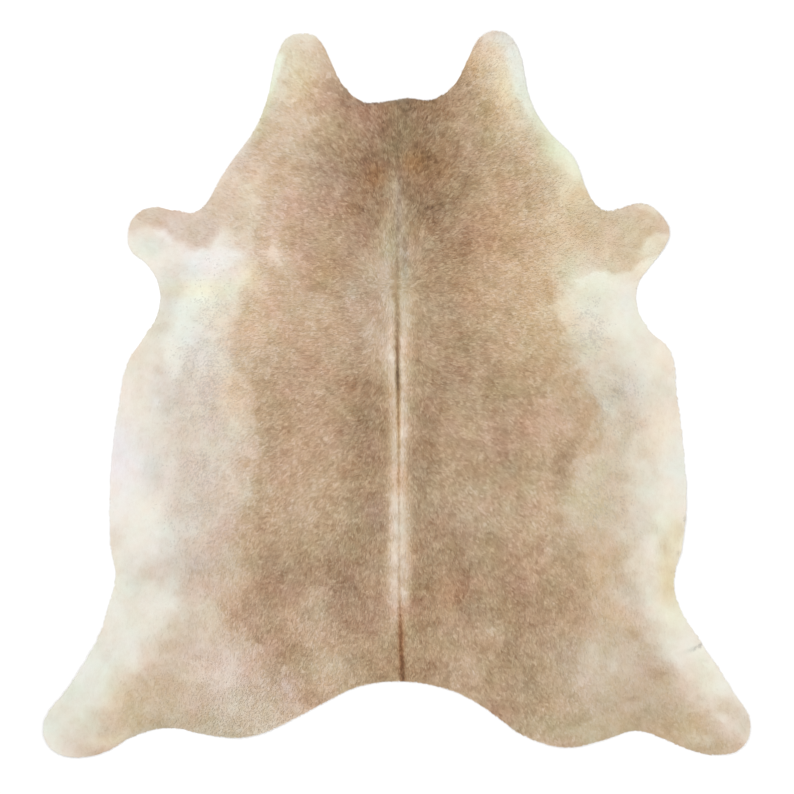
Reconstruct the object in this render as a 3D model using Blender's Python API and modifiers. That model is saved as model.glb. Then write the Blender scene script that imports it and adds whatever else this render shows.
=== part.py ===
"""Cowhide rug: one tanned hide with its hair left on, laid flat with the hair side up.

The neck end points to +Y. The floor is Z = 0, and the origin is on it under the middle of the hide.
Sizes are in metres, except in the tables, which are in millimetres and degrees.
"""

import math

import bmesh
import bpy
from mathutils import Vector, noise

MM = 0.001

# Overall size of the trimmed hide
LENGTH = 2200 * MM
WIDTH = 2140 * MM

# Landmarks along the trimmed edge, from the neck round to the tail, measured from the middle of the hide.
# Columns: place, left side x and y, right side x and y.
EDGE = [
    ("neck cut", -50, 885, 72, 891),
    ("neck cut corner", -104, 886, 100, 889),
    ("neck hollow", -161, 937, 169, 936),
    ("lobe inner side", -196, 1004, 214, 1018),
    ("lobe inner corner", -236, 1076, 247, 1079),
    ("lobe tip", -277, 1092, 305, 1100),
    ("lobe outer corner", -334, 1077, 349, 1076),
    ("lobe outer side", -361, 1025, 374, 1022),
    ("neck upper side", -393, 890, 402, 895),
    ("neck side", -428, 806, 455, 800),
    ("neck lower side", -519, 677, 535, 715),
    ("neck base", -560, 605, 572, 623),
    ("foreleg hollow", -583, 569, 600, 575),
    ("foreleg notch", -618, 547, 632, 554),
    ("foreleg top edge", -660, 555, 672, 563),
    ("foreleg top", -742, 566, 750, 576),
    ("foreleg top corner", -795, 536, 797, 544),
    ("foreleg tip", -813, 484, 825, 489),
    ("foreleg lower corner", -804, 434, 800, 433),
    ("foreleg lower edge", -762, 400, 765, 387),
    ("armpit top", -722, 335, 729, 331),
    ("armpit", -722, 245, 728, 255),
    ("armpit bottom", -764, 177, 759, 201),
    ("flank corner", -814, 100, 825, 137),
    ("flank", -838, -15, 846, 10),
    ("belly", -861, -185, 869, -190),
    ("belly lower", -868, -360, 873, -370),
    ("belly end", -864, -470, 860, -470),
    ("stifle fold", -850, -545, 837, -570),
    ("hind leg top", -869, -628, 853, -640),
    ("hind leg upper edge", -902, -731, 916, -742),
    ("hind leg edge", -993, -884, 1015, -895),
    ("hind foot outer corner", -1068, -995, 1068, -990),
    ("hind foot tip", -1052, -1066, 1046, -1068),
    ("hind foot sole", -986, -1099, 975, -1092),
    ("hind foot inner corner", -895, -1088, 882, -1076),
    ("hind leg inner edge", -797, -1037, 806, -1043),
    ("thigh hollow", -700, -1011, 725, -1020),
    ("thigh outer edge", -578, -1031, 625, -1048),
    ("thigh", -495, -1041, 510, -1070),
    ("thigh lower corner", -425, -1033, 374, -1030),
    ("thigh inner edge", -306, -981, 312, -985),
    ("tail side", -210, -930, 225, -926),
    ("tail cut corner", -108, -883, 158, -896),
]
NECK_MIDDLE = (30, 897)
TAIL_MIDDLE = (0, -871)

# The hide across its length. Columns: place, y, x of the back line, thickness on the back line and at the
# edge, height of the two low shoulders that the fold along the back leaves, and depth of the groove between.
SECTIONS = [
    ("neck cut", 890, 8, 3.6, 2.6, 0.2, 0.2),
    ("neck", 700, 6, 3.7, 2.5, 0.4, 0.4),
    ("withers", 480, 5, 3.5, 2.3, 0.8, 0.6),
    ("shoulder", 200, 4, 3.3, 2.2, 1.5, 1.0),
    ("back", -100, 4, 3.1, 2.1, 1.8, 1.2),
    ("loin", -400, 7, 3.1, 2.1, 1.7, 1.0),
    ("rump", -650, 14, 3.3, 2.3, 1.5, 1.2),
    ("tail cut", -880, 23, 3.5, 2.6, 1.3, 1.4),
]
PLACE_Y, BACK_X, BACK_SKIN, EDGE_SKIN, SHOULDER, GROOVE = 1, 2, 3, 4, 5, 6

# Where the dry skin lifts a little off the floor.
# Columns: place, x, y, half length, half width, turn of the length from +X, height.
LIFTS = [
    ("left neck lobe", -295, 1060, 110, 80, 80, 4.0),
    ("right neck lobe", 305, 1065, 110, 80, 100, 3.0),
    ("left neck side", -520, 690, 170, 45, 57, 2.0),
    ("right neck side", 520, 725, 150, 45, 126, 2.5),
    ("left foreleg", -800, 490, 110, 85, 160, 4.5),
    ("right foreleg", 812, 490, 110, 85, 20, 3.5),
    ("left flank", -850, -40, 240, 50, 82, 3.0),
    ("left belly", -872, -420, 170, 45, 92, 2.0),
    ("right flank", 858, 20, 170, 50, 100, 2.0),
    ("right belly", 878, -420, 210, 50, 86, 3.5),
    ("left hind leg edge", -930, -790, 130, 40, 57, 2.5),
    ("right hind leg edge", 950, -800, 110, 40, 121, 2.0),
    ("left hind foot", -1010, -1030, 150, 110, 48, 5.0),
    ("right hind foot", 1015, -1030, 150, 110, 132, 4.0),
    ("left thigh", -480, -1040, 190, 45, 10, 2.0),
    ("right thigh", 540, -1070, 190, 45, 5, 2.5),
]

# Shape of the fold along the back
SHOULDER_OUT = 22 * MM
SHOULDER_WIDTH = 15 * MM
GROOVE_WIDTH = 6 * MM
BACK_LINE_REACH = 120 * MM

# Unevenness of the skin and of its knife-cut edge
SKIN_UNEVEN = 0.25 * MM
SKIN_LUMP = 140 * MM
EDGE_UNEVEN = 1.0 * MM
EDGE_WAVE = 45 * MM
CUT_EDGE_SHARE = 0.7

# Fineness of the mesh
EDGE_STEP = 24 * MM
MARGIN = 16 * MM
CELL = 43 * MM
BACK_COLUMNS = [-52, -34, -22, -12, -4, 0, 4, 12, 22, 34, 52]
CLOSEST_POINTS = 3 * MM

# The Solidify modifier's full thickness, which each point's weight scales down
THICKEST = 8 * MM


def clear_scene():
    for obj in list(bpy.data.objects):
        bpy.data.objects.remove(obj, do_unlink=True)


def trimmed_edge():
    """The hide's edge as points at even steps along a smooth curve through the landmarks."""
    left_side = [(row[1], row[2]) for row in EDGE]
    right_side = [(row[3], row[4]) for row in reversed(EDGE)]
    landmarks = [NECK_MIDDLE, *left_side, TAIL_MIDDLE, *right_side]

    curve = bpy.data.curves.new("trimmed edge", "CURVE")
    curve.dimensions = "2D"
    curve.fill_mode = "NONE"
    curve.resolution_u = 12
    spline = curve.splines.new("BEZIER")
    spline.bezier_points.add(len(landmarks) - 1)
    for point, (x, y) in zip(spline.bezier_points, landmarks):
        point.co = (x * MM, y * MM, 0)
        point.handle_left_type = "AUTO"
        point.handle_right_type = "AUTO"
    spline.use_cyclic_u = True

    guide = bpy.data.objects.new("trimmed edge", curve)
    bpy.context.scene.collection.objects.link(guide)
    bpy.context.view_layer.update()
    drawn = bpy.data.meshes.new_from_object(guide.evaluated_get(bpy.context.evaluated_depsgraph_get()))
    fine = [vertex.co.copy() for vertex in drawn.vertices]
    bpy.data.objects.remove(guide)
    bpy.data.curves.remove(curve)
    bpy.data.meshes.remove(drawn)
    return fitted(uneven(even_steps(fine)))


def even_steps(loop):
    """Points EDGE_STEP apart along a closed loop."""
    sides = [(b - a).length for a, b in zip(loop, loop[1:] + loop[:1])]
    count = round(sum(sides) / EDGE_STEP)
    step = sum(sides) / count
    points = []
    walked = 0.0
    for start, end, side in zip(loop, loop[1:] + loop[:1], sides):
        while len(points) < count and len(points) * step < walked + side:
            points.append(start.lerp(end, (len(points) * step - walked) / side))
        walked += side
    return points


def uneven(loop):
    """The loop with each point moved in or out a little, as a knife leaves the edge."""
    moved = []
    for before, point, after in zip(loop[-1:] + loop[:-1], loop, loop[1:] + loop[:1]):
        outward = (after - before).cross(Vector((0, 0, 1))).normalized()
        moved.append(point + outward * EDGE_UNEVEN * noise.noise(point / EDGE_WAVE))
    return moved


def fitted(loop):
    """The loop centred and brought to exactly WIDTH by LENGTH."""
    xs = [point.x for point in loop]
    ys = [point.y for point in loop]
    middle = Vector(((min(xs) + max(xs)) / 2, (min(ys) + max(ys)) / 2, 0))
    across = WIDTH / (max(xs) - min(xs))
    along = LENGTH / (max(ys) - min(ys))
    return [Vector(((point.x - middle.x) * across, (point.y - middle.y) * along, 0)) for point in loop]


def section_value(y, column):
    """One column of SECTIONS at y, eased between its rows, in metres."""
    y = y / MM
    if y >= SECTIONS[0][PLACE_Y]:
        return SECTIONS[0][column] * MM
    for upper, lower in zip(SECTIONS, SECTIONS[1:]):
        if y >= lower[PLACE_Y]:
            share = (upper[PLACE_Y] - y) / (upper[PLACE_Y] - lower[PLACE_Y])
            share = share * share * (3 - 2 * share)
            return (upper[column] + (lower[column] - upper[column]) * share) * MM
    return SECTIONS[-1][column] * MM


def skin_thickness(x, y):
    """Thickness at a place: thick on the back, thin at the edge, with the fold's shoulders and groove."""
    out = x - section_value(y, BACK_X)
    side = min(abs(out) / (WIDTH * 0.4), 1)
    back, edge = section_value(y, BACK_SKIN), section_value(y, EDGE_SKIN)
    skin = back + (edge - back) * side * side * (3 - 2 * side)
    skin += SKIN_UNEVEN * noise.noise(Vector((x, y, 0)) / SKIN_LUMP)
    skin += section_value(y, SHOULDER) * math.exp(-(((abs(out) - SHOULDER_OUT) / SHOULDER_WIDTH) ** 2))
    skin -= section_value(y, GROOVE) * math.exp(-((out / GROOVE_WIDTH) ** 2))
    return skin


def lift(x, y):
    """Height of the underside over the floor."""
    height = 0.0
    for _, middle_x, middle_y, half_length, half_width, turn, rise in LIFTS:
        dx, dy = x / MM - middle_x, y / MM - middle_y
        c, s = math.cos(math.radians(turn)), math.sin(math.radians(turn))
        along = (dx * c + dy * s) / half_length
        across = (dy * c - dx * s) / half_width
        height += max(rise * math.exp(-(along**2) - across**2) - 0.1, 0) * MM
    return height


def cut_lines(bm, margin, axis, places):
    """Cuts the field inside the margin along lines square to an axis."""
    for place in places:
        field = [face for face in bm.faces if face not in margin]
        edges = {edge for face in field for edge in face.edges}
        corners = {corner for face in field for corner in face.verts}
        bmesh.ops.bisect_plane(
            bm, geom=[*corners, *edges, *field], dist=1e-6, plane_co=axis * place, plane_no=axis
        )


def flat_sheet():
    """The hide's outline filled with an even net of faces, with closer lines along the back."""
    bm = bmesh.new()
    outline = bm.faces.new([bm.verts.new(point) for point in trimmed_edge()])
    margin = set(bmesh.ops.inset_region(bm, faces=[outline], thickness=MARGIN, use_even_offset=True)["faces"])

    half_rows = math.ceil(LENGTH / 2 / CELL)
    rows = [(row + 0.5) * CELL for row in range(-half_rows, half_rows)]
    nearest_column = BACK_COLUMNS[-1] * MM
    half_columns = math.ceil((WIDTH / 2 - nearest_column) / CELL)
    outer_columns = [nearest_column + column * CELL for column in range(1, half_columns)]
    columns = [-x for x in outer_columns] + [x * MM for x in BACK_COLUMNS] + outer_columns
    cut_lines(bm, margin, Vector((0, 1, 0)), rows)
    cut_lines(bm, margin, Vector((1, 0, 0)), columns)

    bmesh.ops.remove_doubles(bm, verts=bm.verts[:], dist=CLOSEST_POINTS)
    bmesh.ops.triangulate(bm, faces=bm.faces[:], quad_method="BEAUTY", ngon_method="BEAUTY")
    return bm


def cowhide(collection):
    bm = flat_sheet()
    skins = []
    for vertex in bm.verts:
        # The closer columns follow the back line as it wanders.
        reach = max(1 - abs(vertex.co.x) / BACK_LINE_REACH, 0)
        vertex.co.x += section_value(vertex.co.y, BACK_X) * reach
        skin = skin_thickness(vertex.co.x, vertex.co.y)
        skins.append(skin * CUT_EDGE_SHARE if vertex.is_boundary else skin)
        vertex.co.z = lift(vertex.co.x, vertex.co.y)
    mesh = bpy.data.meshes.new("hide")
    bm.to_mesh(mesh)
    bm.free()
    mesh.shade_smooth()
    hide = bpy.data.objects.new("hide", mesh)
    collection.objects.link(hide)

    group = hide.vertex_groups.new(name="skin")
    for index, skin in enumerate(skins):
        group.add([index], skin / THICKEST, "REPLACE")
    solidify = hide.modifiers.new("skin", "SOLIDIFY")
    solidify.thickness = THICKEST
    solidify.offset = 1
    solidify.vertex_group = group.name
    return hide


def tanned_hide():
    material = bpy.data.materials.new("tan hair on leather")
    material.use_nodes = True
    shader = material.node_tree.nodes["Principled BSDF"]
    shader.inputs["Base Color"].default_value = (0.52, 0.37, 0.25, 1)
    shader.inputs["Roughness"].default_value = 0.75
    shader.inputs["Metallic"].default_value = 0
    material.diffuse_color = (0.52, 0.37, 0.25, 1)
    return material


clear_scene()
rug = bpy.data.collections.new("cowhide rug")
bpy.context.scene.collection.children.link(rug)
cowhide(rug).data.materials.append(tanned_hide())
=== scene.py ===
"""Cowhide rug: a tanned skin with its short coat of hair, laid flat on a pale floor and seen from above."""

import math

import bmesh
import bpy
import numpy as np
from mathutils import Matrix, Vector
from mathutils.bvhtree import BVHTree
from mathutils.kdtree import KDTree


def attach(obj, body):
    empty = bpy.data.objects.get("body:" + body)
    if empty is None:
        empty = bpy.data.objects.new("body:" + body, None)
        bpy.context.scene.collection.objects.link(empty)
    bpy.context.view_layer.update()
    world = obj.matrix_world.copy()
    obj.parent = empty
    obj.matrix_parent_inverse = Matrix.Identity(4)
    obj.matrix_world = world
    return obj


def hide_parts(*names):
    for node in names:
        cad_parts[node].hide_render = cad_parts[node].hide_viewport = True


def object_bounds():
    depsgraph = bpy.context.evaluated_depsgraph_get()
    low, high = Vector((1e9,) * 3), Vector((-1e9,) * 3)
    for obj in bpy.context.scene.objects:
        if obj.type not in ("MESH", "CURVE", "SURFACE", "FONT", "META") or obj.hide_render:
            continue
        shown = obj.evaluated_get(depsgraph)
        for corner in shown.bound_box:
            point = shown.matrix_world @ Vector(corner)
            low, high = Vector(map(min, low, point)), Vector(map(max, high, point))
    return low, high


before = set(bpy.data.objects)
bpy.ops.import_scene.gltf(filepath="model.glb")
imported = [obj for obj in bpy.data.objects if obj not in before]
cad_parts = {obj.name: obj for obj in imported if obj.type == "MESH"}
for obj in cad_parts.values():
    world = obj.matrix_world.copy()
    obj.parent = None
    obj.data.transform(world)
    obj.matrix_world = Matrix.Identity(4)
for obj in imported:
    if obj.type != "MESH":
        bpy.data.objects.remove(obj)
cad_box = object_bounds()

# The view: straight down on the middle of the rug through a long lens, with the neck at the top and a
# little pale floor all round it.
MM = 0.001
FLOOR_SHOWN = 2405 * MM
LENS = 85
SENSOR = 36
VIEW_CENTRE = (0.5 * MM, -8.1 * MM)

camera = bpy.data.objects.new("camera", bpy.data.cameras.new("camera"))
bpy.context.scene.collection.objects.link(camera)
camera.data.lens = LENS
camera.data.sensor_width = SENSOR
camera.location = (*VIEW_CENTRE, FLOOR_SHOWN * LENS / SENSOR)
camera.data.clip_end = 60
bpy.context.scene.camera = camera

# The coat's colours, as the hair grew: tan on the back, darkest at the neck, roan and cream towards the
# flanks, forelegs and belly. Tone 0 is the darkest brown and 1 is cream. Places are in millimetres from the
# middle of the rug, with x to the right and y towards the neck.

# Columns: place, y, tone beside the back line, tone at the saddle's border, how far out that border is,
# tone between it and the cream, how far out the cream is.
LEFT_COAT = [
    ("lobe tip", 1080, 0.60, 0.82, 235, 0.90, 420),
    ("lobe", 960, 0.22, 0.64, 250, 0.80, 385),
    ("neck cut", 890, 0.06, 0.62, 290, 0.80, 385),
    ("neck", 800, 0.0, 0.63, 310, 0.69, 425),
    ("neck side", 700, -0.02, 0.57, 355, 0.74, 500),
    ("neck base", 600, 0.10, 0.64, 400, 0.76, 590),
    ("foreleg top", 520, 0.20, 0.64, 425, 0.78, 530),
    ("foreleg", 440, 0.28, 0.68, 430, 0.86, 500),
    ("armpit", 330, 0.34, 0.66, 455, 0.84, 540),
    ("shoulder", 190, 0.34, 0.62, 515, 0.84, 610),
    ("ribs", 60, 0.24, 0.48, 490, 0.80, 750),
    ("back", -60, 0.20, 0.42, 435, 0.76, 730),
    ("belly", -180, 0.20, 0.43, 425, 0.79, 715),
    ("loin", -300, 0.24, 0.54, 450, 0.73, 690),
    ("flank", -415, 0.25, 0.44, 520, 0.72, 690),
    ("stifle", -535, 0.19, 0.30, 455, 0.62, 690),
    ("rump", -655, 0.27, 0.40, 525, 0.74, 665),
    ("thigh", -775, 0.32, 0.36, 430, 0.72, 760),
    ("hind leg", -900, 0.38, 0.56, 420, 0.64, 850),
    ("hind foot", -1000, 0.45, 0.70, 440, 0.56, 905),
    ("hind foot tip", -1090, 0.45, 0.70, 450, 0.62, 950),
]
RIGHT_COAT = [
    ("lobe tip", 1080, 0.35, 0.66, 250, 0.80, 330),
    ("lobe", 960, 0.10, 0.50, 250, 0.76, 340),
    ("neck cut", 890, 0.02, 0.50, 280, 0.72, 362),
    ("neck", 800, 0.05, 0.55, 340, 0.72, 415),
    ("neck side", 700, 0.02, 0.52, 400, 0.72, 490),
    ("neck base", 600, 0.02, 0.54, 460, 0.74, 610),
    ("foreleg top", 520, 0.12, 0.50, 420, 0.71, 880),
    ("foreleg", 402, 0.24, 0.58, 480, 0.74, 840),
    ("armpit top", 372, 0.28, 0.60, 485, 0.86, 545),
    ("armpit", 290, 0.32, 0.60, 490, 0.88, 550),
    ("shoulder", 190, 0.30, 0.58, 510, 0.84, 650),
    ("ribs", 60, 0.22, 0.52, 590, 0.77, 730),
    ("back", -60, 0.22, 0.54, 605, 0.72, 730),
    ("back lower", -130, 0.24, 0.52, 600, 0.70, 735),
    ("belly", -185, 0.25, 0.40, 565, 0.72, 745),
    ("loin", -300, 0.30, 0.50, 535, 0.68, 745),
    ("flank", -415, 0.25, 0.48, 510, 0.66, 755),
    ("stifle", -535, 0.20, 0.38, 590, 0.60, 725),
    ("rump", -655, 0.20, 0.34, 600, 0.58, 760),
    ("thigh", -775, 0.28, 0.40, 540, 0.65, 800),
    ("hind leg", -900, 0.34, 0.42, 540, 0.53, 868),
    ("hind foot", -1000, 0.38, 0.50, 560, 0.57, 955),
    ("hind foot tip", -1090, 0.40, 0.52, 560, 0.56, 1060),
]
COAT_COLUMNS = range(2, 7)
CREAM_TONE = 0.955
SADDLE_CURVE = 1.2
SADDLE_SOFT = 65 * MM
CREAM_SOFT = 120 * MM
BORDER_WANDER = 45 * MM
BORDER_LUMP = 150 * MM

# Columns: place, x, y, half length, half width, turn, change of tone.
PATCHES = [
    ("left lobe's corner", -270, 880, 60, 40, 0, -0.14),
    ("left lobe's tip", -300, 1065, 70, 50, 0, -0.12),
    ("left lobe", -280, 960, 80, 90, 0, -0.07),
    ("left lobe's inner side", -175, 880, 45, 60, 0, -0.10),
    ("left neck's edge", -395, 730, 42, 75, -30, -0.13),
    ("left foreleg hollow", -560, 572, 42, 45, 0, -0.10),
    ("left shoulder's edge", -480, 430, 45, 40, 0, -0.09),
    ("left shoulder pale streak", -350, 480, 40, 110, 0, 0.08),
    ("left ribs pale inside", -440, 75, 60, 42, 0, 0.11),
    ("left belly", -770, -110, 38, 160, 10, -0.06),
    ("left loin pale", -455, -400, 35, 130, 10, 0.09),
    ("left loin spot", -315, -450, 35, 45, 0, -0.09),
    ("left rump's darker side", -545, -610, 32, 60, 0, -0.11),
    ("left hind leg's upper edge", -860, -760, 45, 110, 30, -0.05),
    ("left tail side pale", -190, -830, 40, 60, 0, 0.11),
    ("left foreleg and armpit", -660, 420, 150, 90, 0, -0.06),
    ("left armpit", -695, 270, 50, 100, 0, -0.14),
    ("left flank's corner", -765, 110, 50, 70, -50, -0.08),
    ("left ribs", -655, 85, 42, 85, -15, 0.13),
    ("left saddle border's spot", -510, -5, 40, 60, 0, -0.10),
    ("left shoulder's dark spot", -215, 395, 90, 34, 0, -0.15),
    ("left shoulder pale", -460, 320, 60, 40, 40, 0.10),
    ("left shoulder pale inside", -260, 245, 38, 50, 0, 0.10),
    ("left flank's spot", -640, -280, 45, 30, 0, -0.07),
    ("left stifle", -735, -545, 42, 65, 0, -0.17),
    ("left rump's dark spot", -510, -700, 42, 75, 25, -0.18),
    ("left tail side", -255, -925, 45, 40, 0, -0.11),
    ("left thigh pale", -550, -840, 45, 60, 0, 0.12),
    ("left thigh's pale edge", -480, -985, 120, 45, 0, 0.10),
    ("left hind foot's inner edge", -840, -1045, 60, 30, 10, 0.12),
    ("left hind foot", -970, -1040, 55, 45, 0, -0.08),
    ("right neck's edge", 520, 655, 45, 60, 0, 0.16),
    ("right shoulder's pale band", 335, 600, 130, 26, 0, 0.10),
    ("withers right pale", 50, 635, 40, 28, 0, 0.10),
    ("withers right dark", 122, 545, 38, 42, 0, -0.10),
    ("right shoulder's dark patch", 300, 470, 80, 55, 0, -0.10),
    ("right armpit's dark spot", 482, 335, 30, 36, 0, -0.19),
    ("right shoulder's lower dark patch", 195, 330, 60, 60, 0, -0.07),
    ("right shoulder's pale spot", 270, 580, 60, 30, 0, 0.10),
    ("right shoulder's outer pale spot", 420, 560, 30, 32, 0, 0.10),
    ("right back's dark spot", 130, 20, 30, 62, 0, -0.08),
    ("right neck pale", 305, 850, 40, 150, 0, 0.05),
    ("right foreleg's tip", 785, 455, 45, 38, 30, -0.11),
    ("right foreleg's inner end", 560, 410, 70, 40, -35, 0.08),
    ("right ribs' dark spot", 562, 158, 32, 34, 0, -0.11),
    ("right flank", 750, -60, 110, 110, 0, -0.07),
    ("right flank spot", 690, 125, 75, 45, 0, -0.07),
    ("right flank pale", 705, -375, 42, 95, -20, 0.11),
    ("right of the fold", 50, -110, 24, 130, 0, 0.09),
    ("right of the withers", 75, 480, 24, 110, 0, 0.11),
    ("right rump's dark spot", 185, -600, 30, 100, 0, -0.19),
    ("right flank's dark spot", 545, -238, 42, 28, 0, -0.12),
    ("right loin's pale streak", 466, -340, 25, 130, 0, 0.09),
    ("right rump's pale streak", 285, -630, 35, 100, 0, 0.12),
    ("right tail side pale", 215, -850, 32, 60, 0, 0.11),
    ("right belly's edge", 850, -430, 30, 42, 0, -0.11),
    ("right stifle's edge", 845, -640, 35, 50, 0, -0.09),
    ("right stifle pale", 690, -600, 55, 28, -40, 0.09),
    ("right flank's pale end", 700, -435, 50, 30, 40, 0.07),
    ("right thigh's pale edge", 545, -1030, 60, 32, 0, 0.10),
    ("right thigh pale", 465, -945, 70, 32, 0, 0.08),
    ("right hind leg's inner edge", 780, -1008, 110, 35, 0, -0.07),
    ("right stifle", 750, -575, 75, 38, -40, -0.15),
    ("right tail side", 100, -800, 35, 36, 0, -0.10),
    ("right hind leg's dark spot", 900, -880, 38, 42, 0, -0.13),
    ("right hind foot's outer edge", 1010, -955, 40, 32, 0, -0.08),
    ("right hind foot's pale end", 965, -1050, 60, 28, 0, 0.10),
    ("withers right", 100, 640, 80, 110, 0, -0.08),
    ("neck right", 290, 690, 40, 70, 0, 0.13),
    ("neck left", -150, 620, 50, 40, 0, 0.10),
    ("pale over the shoulders", -10, 300, 95, 190, 0, 0.06),
    ("shoulder right", 150, 440, 90, 60, 0, -0.09),
    ("ribs right", 120, 150, 60, 130, 0, -0.06),
    ("ribs further right", 190, 80, 60, 40, 0, -0.10),
    ("left of the darkest line", -42, 155, 34, 62, 0, 0.28),
    ("left of the waist", -42, -140, 24, 150, 0, 0.09),
    ("right of the darkest line", 42, 60, 22, 150, 0, 0.06),
    ("shoulder left", -150, 560, 60, 90, 0, -0.06),
    ("armpit left", -375, 430, 40, 40, 0, 0.16),
    ("shoulder spot left", -260, 345, 60, 35, 0, -0.09),
    ("withers left", -80, 560, 45, 95, 0, -0.07),
    ("back left", -90, -130, 60, 220, 0, -0.05),
    ("side left", -260, -170, 75, 210, 0, 0.09),
    ("flank left", -300, -370, 110, 80, 0, 0.09),
    ("side right", 460, -90, 50, 110, 0, 0.12),
    ("rump left", -260, -545, 190, 60, 0, -0.05),
    ("beside the tail head", -60, -550, 45, 50, 0, 0.16),
    ("pale rump left", -240, -665, 60, 60, 0, 0.12),
    ("pale thigh left", -215, -790, 60, 90, 25, 0.15),
    ("tail root", 40, -830, 90, 50, 0, -0.14),
    ("loin right", 165, -310, 65, 50, 0, 0.11),
    ("flank spot right", 225, -380, 45, 40, 0, 0.13),
    ("rump right", 310, -655, 60, 55, 0, -0.10),
    ("pale thigh right", 160, -750, 40, 95, 0, 0.12),
    ("pale thigh further right", 300, -735, 35, 40, 0, 0.16),
    ("thigh right", 320, -790, 70, 90, 0, -0.10),
    ("flank streak right", 516, -205, 30, 95, 5, -0.20),
    ("outer flank streak right", 597, -50, 14, 80, 0, -0.10),
    ("right thigh's brown band", 623, -677, 155, 42, -33, -0.10),
    ("right thigh's pale side", 590, -815, 85, 70, -20, 0.07),
    ("right hind leg's brown end", 805, -862, 62, 45, -50, -0.06),
    ("right hind leg's edge", 835, -560, 40, 60, 0, -0.13),
    ("right hind leg spot", 830, -830, 45, 40, 0, -0.14),
    ("right foreleg", 640, 510, 60, 60, 0, -0.06),
    ("left hind leg tan", -740, -910, 150, 55, 35, -0.03),
    ("left hind leg", -980, -960, 90, 60, 52, -0.03),
    ("left hind leg's inner edge", -450, -930, 110, 40, 0, 0.11),
    ("left hind foot's pale end", -880, -1020, 70, 45, 0, 0.14),
    ("right hind leg tan", 700, -1000, 150, 60, -10, -0.05),
    ("right hind foot", 950, -930, 70, 45, 0, -0.13),
    ("right hind foot's pale side", 890, -1030, 60, 40, 0, 0.15),
    ("right hind foot tip", 1050, -1010, 40, 50, 0, -0.14),
]

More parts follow.
